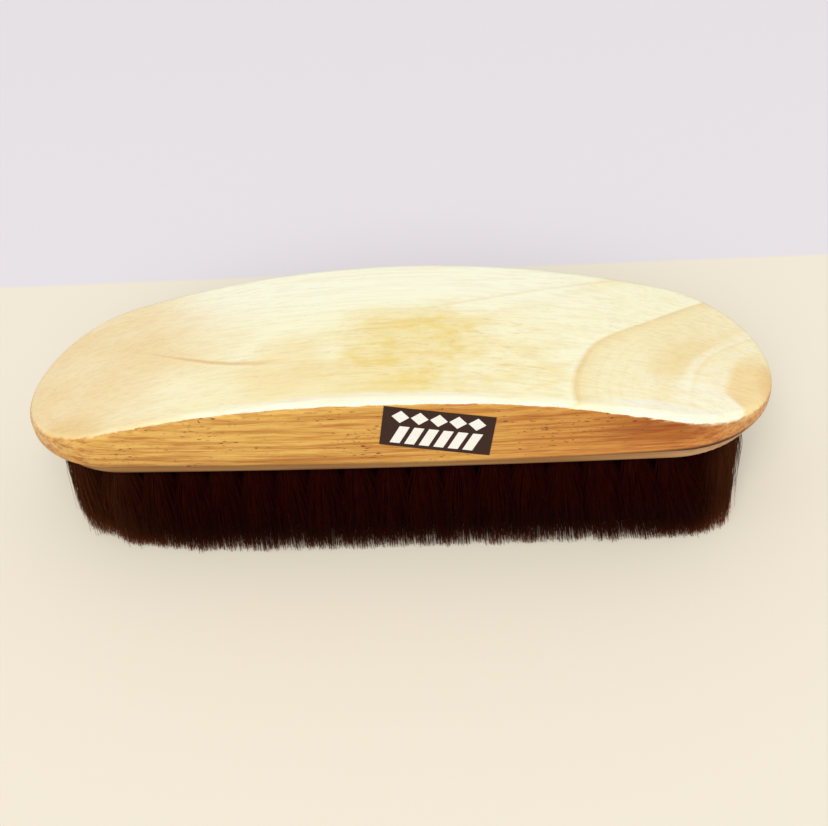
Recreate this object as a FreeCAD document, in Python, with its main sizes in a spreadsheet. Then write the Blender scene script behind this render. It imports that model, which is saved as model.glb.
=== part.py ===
import FreeCAD, Part
import math
import os
import Sketcher
from FreeCAD import Vector

# A two-piece polishing brush. Hair tufts are drawn through a thin drilled board by one
# wire per row, and an arched wooden back is glued over the board to cover the wires.
# X runs along the brush, Y across it, Z up. The hair tips stand on z = 0.

SIZES = {
    # arched back
    "handle_length": 180.0,
    "handle_width": 52.0,
    "handle_end_radius": 24.5,
    "handle_height": 19.7,
    "handle_tip_height": 3.0,
    "crown_rise": 0.6,
    "arch_cut_angle": 60.0,
    "rim_round": 2.0,
    "joint_bevel": 0.4,
    # drilled board
    "board_end_inset": 2.8,
    "board_side_inset": 1.8,
    "board_shift": 0.8,
    "board_end_radius": 23.4,
    "board_thickness": 3.0,
    "board_edge_round": 0.5,
    "hole_diameter": 4.4,
    "hole_to_edge": 0.9,
    # hair tufts
    "tuft_length": 25.6,
    "tuft_pitch": 8.0,
    "row_spacing": 6.7,
    "hair_clearance": 0.05,
    "tip_gap": 0.5,
    "tip_round": 0.6,
    "mouth_depth": 0.3,
    "fold_diameter": 2.6,
    "fold_below_top": 0.8,
    "fold_round": 0.4,
    # drawing wire
    "wire_diameter": 0.4,
    "wire_clearance": 0.1,
    "wire_bend": 0.4,
    "wire_drop": 1.2,
    "wire_leg_offset": 1.75,
    # paper label
    "label_length": 25.1,
    "label_height": 11.6,
    "label_thickness": 0.15,
    "label_tilt": 10.7,
    "label_along": 12.2,
    "label_up": 10.1,
}
ROWS_EACH_SIDE = 3
SAME_LEVEL = 0.01

doc = FreeCAD.newDocument("shoe_brush")
sheet = doc.addObject("Spreadsheet::Sheet", "Sizes")
for line, (alias, number) in enumerate(SIZES.items(), start=1):
    sheet.set(f"A{line}", alias)
    sheet.set(f"B{line}", str(number))
    sheet.setAlias(f"B{line}", alias)
doc.recompute()

BOARD_TOP = "(Sizes.tuft_length + Sizes.board_thickness)"
WIRE_RUN = "(Sizes.wire_clearance + Sizes.wire_diameter / 2)"
HANDLE_HALF = "(Sizes.handle_length / 2)"
HANDLE_SIDE = "(Sizes.handle_width / 2)"
BOARD_HALF = "(Sizes.handle_length / 2 - Sizes.board_end_inset)"
BOARD_SIDE = "(Sizes.handle_width / 2 - Sizes.board_side_inset)"


def side_radius(half, side, end):
    """Radius of the long side arcs that meet the end arcs of an oval smoothly."""
    return f"((({half} - {end})^2 + {side}^2 - {end}^2) / (2 * ({side} - {end})))"


HANDLE_BOW = side_radius(HANDLE_HALF, HANDLE_SIDE, "Sizes.handle_end_radius")
BOARD_BOW = side_radius(BOARD_HALF, BOARD_SIDE, "Sizes.board_end_radius")
ARCH_DROP = "(Sizes.handle_height - Sizes.handle_tip_height)"
ARCH_RADIUS = f"(({HANDLE_HALF}^2 + {ARCH_DROP}^2) / (2 * {ARCH_DROP}))"


def value(expression):
    """The number that a size expression gives now."""
    return float(sheet.evalExpression(expression.replace("Sizes.", "")))


def new_body(label):
    body = doc.addObject("PartDesign::Body", label)
    body.Label = label
    return body


def new_sketch(body, name, role, offsets=None):
    """A sketch on one of the body's own origin planes, moved by bound offsets."""
    plane = next(f for f in body.Origin.OriginFeatures if f.Role == role)
    sketch = body.newObject("Sketcher::SketchObject", name)
    sketch.AttachmentSupport = [(plane, "")]
    sketch.MapMode = "FlatFace"
    for axis, expression in (offsets or {}).items():
        sketch.setExpression(f"AttachmentOffset.{axis}", expression)
    return sketch


def rule(sketch, name, expression, *arguments):
    """Adds a driving size to a sketch and ties it to the sheet."""
    index = sketch.addConstraint(Sketcher.Constraint(*arguments, value(expression)))
    sketch.renameConstraint(index, name)
    sketch.setExpression(f"Constraints.{name}", expression)


def arc(centre, radius, start, end):
    return Part.ArcOfCircle(Part.Circle(centre, Vector(0, 0, 1), radius), start, end)


def draw_oval(sketch, half, side, end, bow):
    """Four tangent arcs: two round ends and two gently bowed sides."""
    reach = value(half) - value(end)
    sink = value(bow) - value(side)
    lean = math.atan2(sink, reach)
    right = sketch.addGeometry(arc(Vector(reach, 0), value(end), -lean, lean))
    back = sketch.addGeometry(arc(Vector(0, -sink), value(bow), lean, math.pi - lean))
    left = sketch.addGeometry(arc(Vector(-reach, 0), value(end), math.pi - lean, math.pi + lean))
    front = sketch.addGeometry(arc(Vector(0, sink), value(bow), math.pi + lean, 2 * math.pi - lean))
    for first, second in ((right, back), (back, left), (left, front), (front, right)):
        sketch.addConstraint(Sketcher.Constraint("Tangent", first, 2, second, 1))
    sketch.addConstraint(Sketcher.Constraint("PointOnObject", right, 3, -1))
    for side_arc in (back, front):
        sketch.addConstraint(Sketcher.Constraint("PointOnObject", side_arc, 3, -2))
    sketch.addConstraint(Sketcher.Constraint("Equal", right, left))
    sketch.addConstraint(Sketcher.Constraint("Equal", back, front))
    rule(sketch, "end_radius", end, "Radius", right)
    rule(sketch, "side_radius", bow, "Radius", back)
    rule(sketch, "end_centre", f"{half} - {end}", "DistanceX", -1, 1, right, 3)


def draw_polygon(sketch, corners):
    """A closed outline whose corners are all tied to the sheet."""
    points = [Vector(value(across), value(up)) for across, up in corners]
    lines = [sketch.addGeometry(Part.LineSegment(point, points[(index + 1) % len(points)]))
             for index, point in enumerate(points)]
    for index, line in enumerate(lines):
        follower = lines[(index + 1) % len(lines)]
        sketch.addConstraint(Sketcher.Constraint("Coincident", line, 2, follower, 1))
    for index, (across, up) in enumerate(corners):
        if across == "0":
            sketch.addConstraint(Sketcher.Constraint("PointOnObject", lines[index], 1, -2))
        else:
            rule(sketch, f"across{index}", across, "DistanceX", -1, 1, lines[index], 1)
        if up == "0":
            sketch.addConstraint(Sketcher.Constraint("PointOnObject", lines[index], 1, -1))
        else:
            rule(sketch, f"up{index}", up, "DistanceY", -1, 1, lines[index], 1)


def draw_circle(sketch, across, up, radius, name="ring"):
    """A circle whose centre and radius are tied to the sheet."""
    centre = Vector(value(across), value(up))
    circle = sketch.addGeometry(Part.Circle(centre, Vector(0, 0, 1), value(radius)))
    rule(sketch, f"{name}_radius", radius, "Radius", circle)
    if across == "0":
        sketch.addConstraint(Sketcher.Constraint("PointOnObject", circle, 3, -2))
    else:
        rule(sketch, f"{name}_across", across, "DistanceX", -1, 1, circle, 3)
    rule(sketch, f"{name}_up", up, "DistanceY", -1, 1, circle, 3)


def draw_hole_row(sketch, first_along, count):
    """A straight row of equal holes, one pitch apart, along the sketch's own X axis."""
    holes = []
    for step in range(count):
        centre = Vector(value(f"{first_along} + Sizes.tuft_pitch * {step}"), 0)
        hole = sketch.addGeometry(Part.Circle(centre, Vector(0, 0, 1), value("Sizes.hole_diameter / 2")))
        sketch.addConstraint(Sketcher.Constraint("PointOnObject", hole, 3, -1))
        if holes:
            sketch.addConstraint(Sketcher.Constraint("Equal", holes[0], hole))
            rule(sketch, f"pitch{step}", "Sizes.tuft_pitch", "DistanceX", holes[-1], 3, hole, 3)
        else:
            rule(sketch, "hole_radius", "Sizes.hole_diameter / 2", "Radius", hole)
            rule(sketch, "first_along", first_along, "DistanceX", -1, 1, hole, 3)
        holes.append(hole)


def feature(body, kind, name, profile, sizes=None, **settings):
    """A solid feature made from a sketch, with its sizes tied to the sheet."""
    item = body.newObject(f"PartDesign::{kind}", name)
    item.Profile = profile
    for key, setting in settings.items():
        setattr(item, key, setting)
    for key, expression in (sizes or {}).items():
        item.setExpression(key, expression)
    return item


def pattern(body, name, originals, axis_sketch, count):
    """Repeats features along X at the tuft pitch."""
    item = body.newObject("PartDesign::LinearPattern", name)
    item.Originals = originals
    item.Direction = (axis_sketch, ["H_Axis"])
    item.Occurrences = count
    item.setExpression("Length", f"Sizes.tuft_pitch * {count - 1}")
    body.Tip = item
    return item


def edges_where(shape, test):
    """Names of the edges whose two ends both pass a test on height."""
    return [f"Edge{index}" for index, edge in enumerate(shape.Edges, start=1)
            if all(test(vertex.Z) for vertex in edge.Vertexes)]


def dress(body, kind, name, base, edges, size, expression):
    """A fillet or chamfer on named edges, with its size tied to the sheet."""
    item = body.newObject(f"PartDesign::{kind}", name)
    item.Base = (base, edges)
    item.setExpression(size, expression)
    doc.recompute()
    return item


# Arched back: an oval block whose top is cut to an arch with a slight crown across it
handle = new_body("handle_back")
outline = new_sketch(handle, "back_outline", "XY_Plane", {"Base.z": BOARD_TOP})
draw_oval(outline, HANDLE_HALF, HANDLE_SIDE, "Sizes.handle_end_radius", HANDLE_BOW)
feature(handle, "Pad", "back_block", outline, {"Length": "Sizes.handle_height"})

HANDLE_TOP = f"({BOARD_TOP} + Sizes.handle_height)"
CROWN_RADIUS = f"(({HANDLE_SIDE}^2 + Sizes.crown_rise^2) / (2 * Sizes.crown_rise))"
arch = new_sketch(handle, "arch_section", "YZ_Plane")
half_cut = value("Sizes.handle_width")
crown_centre = value(f"{HANDLE_TOP} - {CROWN_RADIUS}")
cut_top = value(f"{HANDLE_TOP} + Sizes.handle_height")
swing = math.asin(half_cut / value(CROWN_RADIUS))
crown = arch.addGeometry(arc(Vector(0, crown_centre), value(CROWN_RADIUS),
                             math.pi / 2 - swing, math.pi / 2 + swing))
crown_edge = crown_centre + value(CROWN_RADIUS) * math.cos(swing)
wall_left = arch.addGeometry(Part.LineSegment(Vector(-half_cut, crown_edge), Vector(-half_cut, cut_top)))
lid = arch.addGeometry(Part.LineSegment(Vector(-half_cut, cut_top), Vector(half_cut, cut_top)))
wall_right = arch.addGeometry(Part.LineSegment(Vector(half_cut, cut_top), Vector(half_cut, crown_edge)))
for first, second in ((crown, wall_left), (wall_left, lid), (lid, wall_right), (wall_right, crown)):
    arch.addConstraint(Sketcher.Constraint("Coincident", first, 2, second, 1))
for wall in (wall_left, wall_right):
    arch.addConstraint(Sketcher.Constraint("Vertical", wall))
arch.addConstraint(Sketcher.Constraint("Horizontal", lid))
arch.addConstraint(Sketcher.Constraint("PointOnObject", crown, 3, -2))
rule(arch, "crown_radius", CROWN_RADIUS, "Radius", crown)
rule(arch, "crown_centre", f"{HANDLE_TOP} - {CROWN_RADIUS}", "DistanceY", -1, 1, crown, 3)
rule(arch, "cut_right", "Sizes.handle_width", "DistanceX", -1, 1, lid, 2)
rule(arch, "cut_left", "Sizes.handle_width", "DistanceX", lid, 1, -1, 1)
rule(arch, "cut_top", f"{HANDLE_TOP} + Sizes.handle_height", "DistanceY", -1, 1, lid, 2)
axis_height = value(f"{HANDLE_TOP} - {ARCH_RADIUS}")
axle = arch.addGeometry(Part.LineSegment(Vector(0, axis_height), Vector(half_cut, axis_height)), True)
arch.addConstraint(Sketcher.Constraint("Horizontal", axle))
arch.addConstraint(Sketcher.Constraint("PointOnObject", axle, 1, -2))
rule(arch, "axis_height", f"{HANDLE_TOP} - {ARCH_RADIUS}", "DistanceY", -1, 1, axle, 1)
rule(arch, "axis_length", "Sizes.handle_width", "DistanceX", axle, 1, axle, 2)
arch_cut = feature(handle, "Groove", "arch_cut", arch, {"Angle": "Sizes.arch_cut_angle"},
                   ReferenceAxis=(arch, ["Axis0"]), Midplane=True)
doc.recompute()
board_top = value(BOARD_TOP)
rim_edges = edges_where(arch_cut.Shape, lambda height: height > board_top + SAME_LEVEL)
rim = dress(handle, "Fillet", "rim_rounding", arch_cut, rim_edges, "Radius", "Sizes.rim_round")
foot_edges = edges_where(rim.Shape, lambda height: height < board_top + SAME_LEVEL)
dress(handle, "Chamfer", "joint_bevel", rim, foot_edges, "Size", "Sizes.joint_bevel")

# Rows of tufts: neighbouring rows are staggered by half a pitch
TUFT_ROWS = []
hole_inset = value("Sizes.hole_diameter / 2 + Sizes.hole_to_edge")
board_reach = value(f"{BOARD_HALF} - Sizes.board_end_radius")
board_sink = value(f"{BOARD_BOW} - {BOARD_SIDE}")


def on_board(along, across):
    """True where a hole still has wood all round it, at the end that the board is glued nearer to."""
    along += value("Sizes.board_shift")
    if along <= board_reach:
        return math.hypot(along, across + board_sink) <= value(BOARD_BOW) - hole_inset
    return math.hypot(along - board_reach, across) <= value("Sizes.board_end_radius") - hole_inset


for side in range(-ROWS_EACH_SIDE, ROWS_EACH_SIDE + 1):
    across = abs(side) * SIZES["row_spacing"]
    count = 1 if side % 2 else 2
    while on_board((count + 1) / 2 * SIZES["tuft_pitch"], across):
        count += 2
    TUFT_ROWS.append((side, count))

# Drilled board: glued on a little off centre, with through holes for the tufts and a groove
# along each row for its wire
board = new_body("tuft_board")
outline = new_sketch(board, "board_outline", "XY_Plane",
                     {"Base.x": "Sizes.board_shift", "Base.z": "Sizes.tuft_length"})
draw_oval(outline, BOARD_HALF, BOARD_SIDE, "Sizes.board_end_radius", BOARD_BOW)
plate = feature(board, "Pad", "board_plate", outline, {"Length": "Sizes.board_thickness"})
doc.recompute()
board_bottom = value("Sizes.tuft_length")
lower_edges = edges_where(plate.Shape, lambda height: height < board_bottom + SAME_LEVEL)
dress(board, "Fillet", "board_edge", plate, lower_edges, "Radius", "Sizes.board_edge_round")
for number, (side, count) in enumerate(TUFT_ROWS, start=1):
    first_along = f"(-Sizes.tuft_pitch * {count - 1} / 2)"
    row_across = f"(Sizes.row_spacing * {side})" if side else "0"
    drill = new_sketch(board, f"holes_{number}", "XY_Plane", {"Base.z": BOARD_TOP, "Base.y": row_across})
    draw_hole_row(drill, first_along, count)
    feature(board, "Pocket", f"bores_{number}", drill, Type="ThroughAll")
    channel = new_sketch(board, f"groove_{number}", "XY_Plane", {"Base.z": BOARD_TOP, "Base.y": row_across})
    half_run = f"(Sizes.tuft_pitch * {count} / 2 + Sizes.wire_clearance)"
    draw_polygon(channel, [(f"-{half_run}", f"-{WIRE_RUN}"), (half_run, f"-{WIRE_RUN}"),
                           (half_run, WIRE_RUN), (f"-{half_run}", WIRE_RUN)])
    feature(board, "Pocket", f"wire_groove_{number}", channel, {"Length": f"2 * {WIRE_RUN}"})
doc.recompute()

# Tufts: hair folded over the wire in the hole, then spreading to the tips
HAIR_RADIUS = "(Sizes.hole_diameter / 2 - Sizes.hair_clearance)"
FOLD_RADIUS = "(Sizes.fold_diameter / 2)"
TIP_RADIUS = "((Sizes.tuft_pitch - Sizes.tip_gap) / 2)"
FOLD_TOP = f"({BOARD_TOP} - Sizes.fold_below_top)"
WIRE_PASS = f"({BOARD_TOP} - {WIRE_RUN} - Sizes.wire_drop)"
TUFT_PROFILE = [
    ("0", FOLD_TOP),
    (f"{FOLD_RADIUS} - Sizes.fold_round", FOLD_TOP),
    (FOLD_RADIUS, f"{FOLD_TOP} - Sizes.fold_round"),
    (FOLD_RADIUS, "Sizes.tuft_length + 2 * Sizes.mouth_depth"),
    (HAIR_RADIUS, "Sizes.tuft_length + Sizes.mouth_depth"),
    (HAIR_RADIUS, "Sizes.tuft_length"),
    (TIP_RADIUS, "Sizes.tip_round"),
    (f"{TIP_RADIUS} - Sizes.tip_round", "0"),
    ("0", "0"),
]
nodes = [handle, board]
for number, (side, count) in enumerate(TUFT_ROWS, start=1):
    row = new_body(f"tuft_row_{number}")
    row.AllowCompound = True
    row.setExpression("Placement.Base.x", f"-Sizes.tuft_pitch * {count - 1} / 2")
    row.setExpression("Placement.Base.y", f"Sizes.row_spacing * {side}")
    profile = new_sketch(row, f"tuft_profile_{number}", "XZ_Plane")
    draw_polygon(profile, TUFT_PROFILE)
    tuft = feature(row, "Revolution", f"tuft_{number}", profile, ReferenceAxis=(profile, ["V_Axis"]))
    eye = new_sketch(row, f"fold_eye_{number}", "YZ_Plane")
    draw_circle(eye, "0", WIRE_PASS, "Sizes.wire_diameter / 2 + Sizes.hair_clearance")
    fold = feature(row, "Pocket", f"fold_{number}", eye, {"Length": "2 * Sizes.fold_diameter"},
                   Midplane=True)
    pattern(row, f"tufts_{number}", [tuft, fold], profile, count)
    nodes.append(row)
doc.recompute()

# Drawing wires: one wire along each row, dipping through the fold of every tuft
for number, (side, count) in enumerate(TUFT_ROWS, start=1):
    wire = new_body(f"drawing_wire_{number}")
    wire.setExpression("Placement.Base.x", f"-Sizes.tuft_pitch * {count} / 2")
    wire.setExpression("Placement.Base.y", f"Sizes.row_spacing * {side}")
    run = f"({BOARD_TOP} - {WIRE_RUN})"
    path = new_sketch(wire, f"wire_path_{number}", "XZ_Plane")
    high = value(run)
    low = value(WIRE_PASS)
    bend = value("Sizes.wire_bend")
    down = value("Sizes.tuft_pitch / 2 - Sizes.wire_leg_offset")
    rise = value("Sizes.tuft_pitch / 2 + Sizes.wire_leg_offset")
    pieces = [
        Part.LineSegment(Vector(0, high), Vector(down - bend, high)),
        arc(Vector(down - bend, high - bend), bend, 0, math.pi / 2),
        Part.LineSegment(Vector(down, high - bend), Vector(down, low + bend)),
        arc(Vector(down + bend, low + bend), bend, math.pi, 1.5 * math.pi),
        Part.LineSegment(Vector(down + bend, low), Vector(rise - bend, low)),
        arc(Vector(rise - bend, low + bend), bend, 1.5 * math.pi, 2 * math.pi),
        Part.LineSegment(Vector(rise, low + bend), Vector(rise, high - bend)),
        arc(Vector(rise + bend, high - bend), bend, math.pi / 2, math.pi),
        Part.LineSegment(Vector(rise + bend, high), Vector(value("Sizes.tuft_pitch"), high)),
    ]
    first_run, turn_down, leg_down, turn_in, through, turn_out, leg_up, turn_over, last_run = (
        path.addGeometry(piece) for piece in pieces)
    joins = [(first_run, 2, turn_down, 2), (turn_down, 1, leg_down, 1), (leg_down, 2, turn_in, 1),
             (turn_in, 2, through, 1), (through, 2, turn_out, 1), (turn_out, 2, leg_up, 1),
             (leg_up, 2, turn_over, 2), (turn_over, 1, last_run, 1)]
    for join in joins:
        path.addConstraint(Sketcher.Constraint("Tangent", *join))
    for level in (first_run, through, last_run):
        path.addConstraint(Sketcher.Constraint("Horizontal", level))
    for leg in (leg_down, leg_up):
        path.addConstraint(Sketcher.Constraint("Vertical", leg))
    for turn in (turn_in, turn_out, turn_over):
        path.addConstraint(Sketcher.Constraint("Equal", turn_down, turn))
    path.addConstraint(Sketcher.Constraint("PointOnObject", first_run, 1, -2))
    rule(path, "bend", "Sizes.wire_bend", "Radius", turn_down)
    rule(path, "start_height", run, "DistanceY", -1, 1, first_run, 1)
    rule(path, "end_height", run, "DistanceY", -1, 1, last_run, 2)
    rule(path, "pass_height", WIRE_PASS, "DistanceY", -1, 1, through, 1)
    rule(path, "leg_down", "Sizes.tuft_pitch / 2 - Sizes.wire_leg_offset", "DistanceX", -1, 1, leg_down, 1)
    rule(path, "leg_up", "Sizes.tuft_pitch / 2 + Sizes.wire_leg_offset", "DistanceX", -1, 1, leg_up, 1)
    rule(path, "period", "Sizes.tuft_pitch", "DistanceX", -1, 1, last_run, 2)
    section = new_sketch(wire, f"wire_section_{number}", "YZ_Plane")
    draw_circle(section, "0", run, "Sizes.wire_diameter / 2")
    stitch = feature(wire, "AdditivePipe", f"stitch_{number}", section, Spine=(path, []))
    pattern(wire, f"stitches_{number}", [stitch], path, count)
    nodes.append(wire)
doc.recompute()

# Paper label: a crooked rectangle that follows the bowed front side of the back
label = new_body("label")
patch = new_sketch(label, "label_outline", "XZ_Plane")
patch.AttachmentOffset = FreeCAD.Placement(
    Vector(), FreeCAD.Rotation(Vector(0, 0, -1), SIZES["label_tilt"]))
patch.setExpression("AttachmentOffset.Rotation.Angle", "Sizes.label_tilt")
patch.setExpression("AttachmentOffset.Base.x", "Sizes.label_along")
patch.setExpression("AttachmentOffset.Base.y", f"{BOARD_TOP} + Sizes.label_up")
patch.setExpression("AttachmentOffset.Base.z", HANDLE_SIDE)
half_long = "Sizes.label_length / 2"
half_tall = "Sizes.label_height / 2"
draw_polygon(patch, [(f"-{half_long}", f"-{half_tall}"), (half_long, f"-{half_tall}"),
                     (half_long, half_tall), (f"-{half_long}", half_tall)])
feature(label, "Pad", "label_block", patch, {"Length": "Sizes.label_height"}, Midplane=True)
bow_centre = f"({HANDLE_BOW} - {HANDLE_SIDE})"
inner = new_sketch(label, "label_back", "XY_Plane")
draw_circle(inner, "0", bow_centre, HANDLE_BOW)
feature(label, "Pocket", "glued_face", inner, Type="ThroughAll", Midplane=True)
outer = new_sketch(label, "label_front", "XY_Plane")
draw_circle(outer, "0", bow_centre, f"{HANDLE_BOW} + Sizes.label_thickness", "face")
draw_circle(outer, "0", bow_centre, f"{HANDLE_BOW} + Sizes.label_height", "spare")
feature(label, "Pocket", "printed_face", outer, Type="ThroughAll", Midplane=True)
nodes.append(label)
doc.recompute()

for item in doc.Objects:
    if "Invalid" in item.State or "Error" in item.State:
        raise RuntimeError(f"{item.Label} did not rebuild: {item.State}")
os.makedirs("parts", exist_ok=True)
for node in nodes:
    if node.Shape.isNull() or not node.Shape.isValid():
        raise RuntimeError(f"{node.Label} has no valid shape")
    node.Shape.exportStep(f"parts/{node.Label}.step")
    box = node.Shape.BoundBox
    print(node.Label, len(node.Shape.Solids), "solids", round(node.Shape.Volume, 2), "mm3",
          [round(side, 2) for side in (box.XMin, box.XMax, box.YMin, box.YMax, box.ZMin, box.ZMax)])
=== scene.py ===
# %% [markdown]
# A shoe shine brush, dressed for a picture.
# The solids already give every piece its size and place: an arched wooden back, a thin drilled
# board, rows of hair tufts, the wires that hold them and a small paper label.
# They are loaded first and stay where they are. The wood, wire and paper only need better
# finishes, while the plain tufts are replaced by real hairs.

# %% Load the solids
import math
import random
import bmesh
import bpy
from mathutils import Matrix, Vector


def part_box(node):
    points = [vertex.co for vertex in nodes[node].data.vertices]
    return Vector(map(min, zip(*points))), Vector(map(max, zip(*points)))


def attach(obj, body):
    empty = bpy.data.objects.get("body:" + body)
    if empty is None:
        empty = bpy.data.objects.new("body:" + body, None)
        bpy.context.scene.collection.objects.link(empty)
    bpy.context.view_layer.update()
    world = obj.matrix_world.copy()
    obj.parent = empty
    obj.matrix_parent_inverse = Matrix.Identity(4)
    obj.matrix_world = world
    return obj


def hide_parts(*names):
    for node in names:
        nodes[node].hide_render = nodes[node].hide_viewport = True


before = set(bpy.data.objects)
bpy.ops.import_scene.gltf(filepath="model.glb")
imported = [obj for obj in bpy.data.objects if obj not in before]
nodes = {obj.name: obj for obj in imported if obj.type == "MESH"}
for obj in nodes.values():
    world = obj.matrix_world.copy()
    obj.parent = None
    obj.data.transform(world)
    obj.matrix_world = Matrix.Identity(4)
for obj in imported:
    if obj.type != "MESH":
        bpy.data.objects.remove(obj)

scene = bpy.context.scene
scene.view_settings.view_transform = "Standard"
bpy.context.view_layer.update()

# %% [markdown]
# The camera stands where the photograph was taken: in front of the brush, a little to its right
# and looking down at about forty degrees, with the picture slightly tilted.
# It could be aimed with a Track To constraint, but that leaves no room for the tilt. Turning three
# plain angles into the camera's own right, up and forward directions keeps the tilt readable.

# %% Camera
CAMERA_PLACE = Vector((0.0325, -0.2368, 0.2355))
CAMERA_TURN = math.radians(-6.78)
CAMERA_DIP = math.radians(42.0)
CAMERA_TILT = math.radians(-6.32)
CAMERA_LENS = 56.3
BRUSH_MIDDLE = Vector((0.0, 0.0, 0.03))

level_ahead = Vector((math.sin(CAMERA_TURN), math.cos(CAMERA_TURN), 0.0))
level_right = Vector((math.cos(CAMERA_TURN), -math.sin(CAMERA_TURN), 0.0))
ahead = level_ahead * math.cos(CAMERA_DIP) - Vector((0.0, 0.0, math.sin(CAMERA_DIP)))
upward = level_ahead * math.sin(CAMERA_DIP) + Vector((0.0, 0.0, math.cos(CAMERA_DIP)))
across = level_right * math.cos(CAMERA_TILT) + upward * math.sin(CAMERA_TILT)
upright = upward * math.cos(CAMERA_TILT) - level_right * math.sin(CAMERA_TILT)
camera = bpy.data.objects.new("camera", bpy.data.cameras.new("camera"))
camera.data.lens = CAMERA_LENS
camera.data.sensor_width = 36.0
camera.data.clip_start = 0.01
camera.matrix_world = Matrix((
    (across.x, upright.x, -ahead.x, CAMERA_PLACE.x),
    (across.y, upright.y, -ahead.y, CAMERA_PLACE.y),
    (across.z, upright.z, -ahead.z, CAMERA_PLACE.z),
    (0.0, 0.0, 0.0, 1.0)))
scene.collection.objects.link(camera)
scene.camera = camera
print("camera distance in mm", round(1000 * (CAMERA_PLACE - BRUSH_MIDDLE).length))

# %% [markdown]
# Every finish below is a small graph of shader nodes. They could be dragged together in the Shader
# Editor, but a script needs helpers to keep those graphs short: they start a material, add a node
# and join its inputs, and do arithmetic.
# Colours are written as they look on a screen, from 0 to 255.

# %% Helpers for nodes
def screen(red, green, blue):
    """A colour as seen on a screen, turned into the amounts of light that a shader needs."""
    return tuple(part / 3294.6 if part <= 10 else ((part / 255 + 0.055) / 1.055) ** 2.4
                 for part in (red, green, blue))


def new_finish(name):
    """A new material, its tree and its surface shader."""
    material = bpy.data.materials.new(name)
    material.use_nodes = True
    return material, material.node_tree, material.node_tree.nodes["Principled BSDF"]


def add(tree, kind, inputs=None, **settings):
    """Adds a node, sets its options, and fills or joins its inputs."""
    node = tree.nodes.new("ShaderNode" + kind)
    for key, setting in settings.items():
        setattr(node, key, setting)
    for key, given in (inputs or {}).items():
        if isinstance(given, bpy.types.NodeSocket):
            tree.links.new(given, node.inputs[key])
        else:
            node.inputs[key].default_value = given
    return node


def calc(tree, operation, first, second=0.0, third=0.0):
    """One step of arithmetic on sockets or plain numbers."""
    return add(tree, "Math", {0: first, 1: second, 2: third}, operation=operation).outputs[0]


def scaled(tree, value, factor, plus):
    """A value times a factor, plus something."""
    return calc(tree, "MULTIPLY_ADD", value, factor, plus)


def less(tree, value, amount):
    """A value less an amount."""
    return calc(tree, "SUBTRACT", value, amount)


def product(tree, first, *others):
    """Several values multiplied together."""
    for other in others:
        first = calc(tree, "MULTIPLY", first, other)
    return first


def dress(node_name, material):
    """Gives one of the solids its finish."""
    target = nodes[node_name].data
    target.materials.clear()
    target.materials.append(material)


print("solids to dress", sorted(nodes))

# %% [markdown]
# The patterns are made the same way for every finish: a place on the brush, a soft mask or a noise
# field made from it, and a colour mixed in where the mask is strong.
# All of them read Object coordinates in millimetres, so sizes are written as they are measured on
# the brush, and nothing slides when the brush is seen from another side.

# %% Helpers for patterns
def millimetres(tree):
    """Object coordinates in millimetres, as one vector and as three values."""
    place = add(tree, "TexCoord").outputs["Object"]
    place = add(tree, "VectorMath", {0: place, 3: 1000.0}, operation="SCALE").outputs[0]
    return place, *add(tree, "SeparateXYZ", {0: place}).outputs


def noise(tree, place, stretch, scale, detail=2.0, roughness=0.5):
    """A soft random field from 0 to 1, drawn out along the axes with a small stretch value."""
    drawn = add(tree, "VectorMath", {0: place, 1: stretch}, operation="MULTIPLY").outputs[0]
    return add(tree, "TexNoise", {"Vector": drawn, "Scale": scale, "Detail": detail,
                                  "Roughness": roughness}).outputs["Fac"]


def band(tree, value, low, high):
    """A smooth step: 0 at low and 1 at high. It falls when high is the smaller number."""
    node = add(tree, "MapRange", {"Value": value, "From Min": low, "From Max": high},
               interpolation_type="SMOOTHSTEP")
    return node.outputs["Result"]


def ramp(tree, value, low, high, stops):
    """A colour ramp over a range, from (value, colour) pairs."""
    share = add(tree, "MapRange", {"Value": value, "From Min": low, "From Max": high})
    node = add(tree, "ValToRGB", {"Fac": share.outputs["Result"]})
    elements = node.color_ramp.elements
    elements.remove(elements[1])
    for index, (where, colour) in enumerate(stops):
        position = (where - low) / (high - low)
        element = elements.new(position) if index else elements[0]
        element.position = position
        element.color = (*screen(*colour), 1.0)
    return node.outputs["Color"]


def mix(tree, factor, first, second, blend="MIX"):
    """Mixes a second colour into the first."""
    node = add(tree, "Mix", {0: factor, 6: first}, data_type="RGBA", blend_type=blend)
    node.inputs[7].default_value = (*screen(*second), 1.0)
    return node.outputs[2]


def choose(tree, factor, first, second):
    """Passes from one joined colour to another."""
    return add(tree, "Mix", {0: factor, 6: first, 7: second}, data_type="RGBA").outputs[2]


print("a middle grey as light", round(screen(128, 128, 128)[0], 3))

# %% [markdown]
# The varnished back was sawn from near the outside of a log, so its growth rings are wide arcs
# about a line that runs along the brush, well below it and a few degrees out of level. Where the
# arched top cuts through those arcs it shows a pointed loop at one end and thin lines elsewhere.
# A Wave texture could draw rings too, but the distance from that line is what real wood follows,
# so the same few nodes draw the loops on the top and the long bands on the sides.

# %% Growth rings
RING_LINE = (0.0, -17.0, -21.0)
RING_SLOPE = -0.075
RING_WANDER = 0.7
LEFT_LINE_RING, LEFT_LINE_SLOPE = 70.83, -0.0267
FAR_LINE_RING, FAR_LINE_SLOPE = 72.67, 0.031
SWELL_WIDTH, SWELL_SHIFT, SWELL_DEPTH = 7, 0.21, 0.42
FLARE_START, FLARE_GROWTH = 6.0, 0.0066

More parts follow.
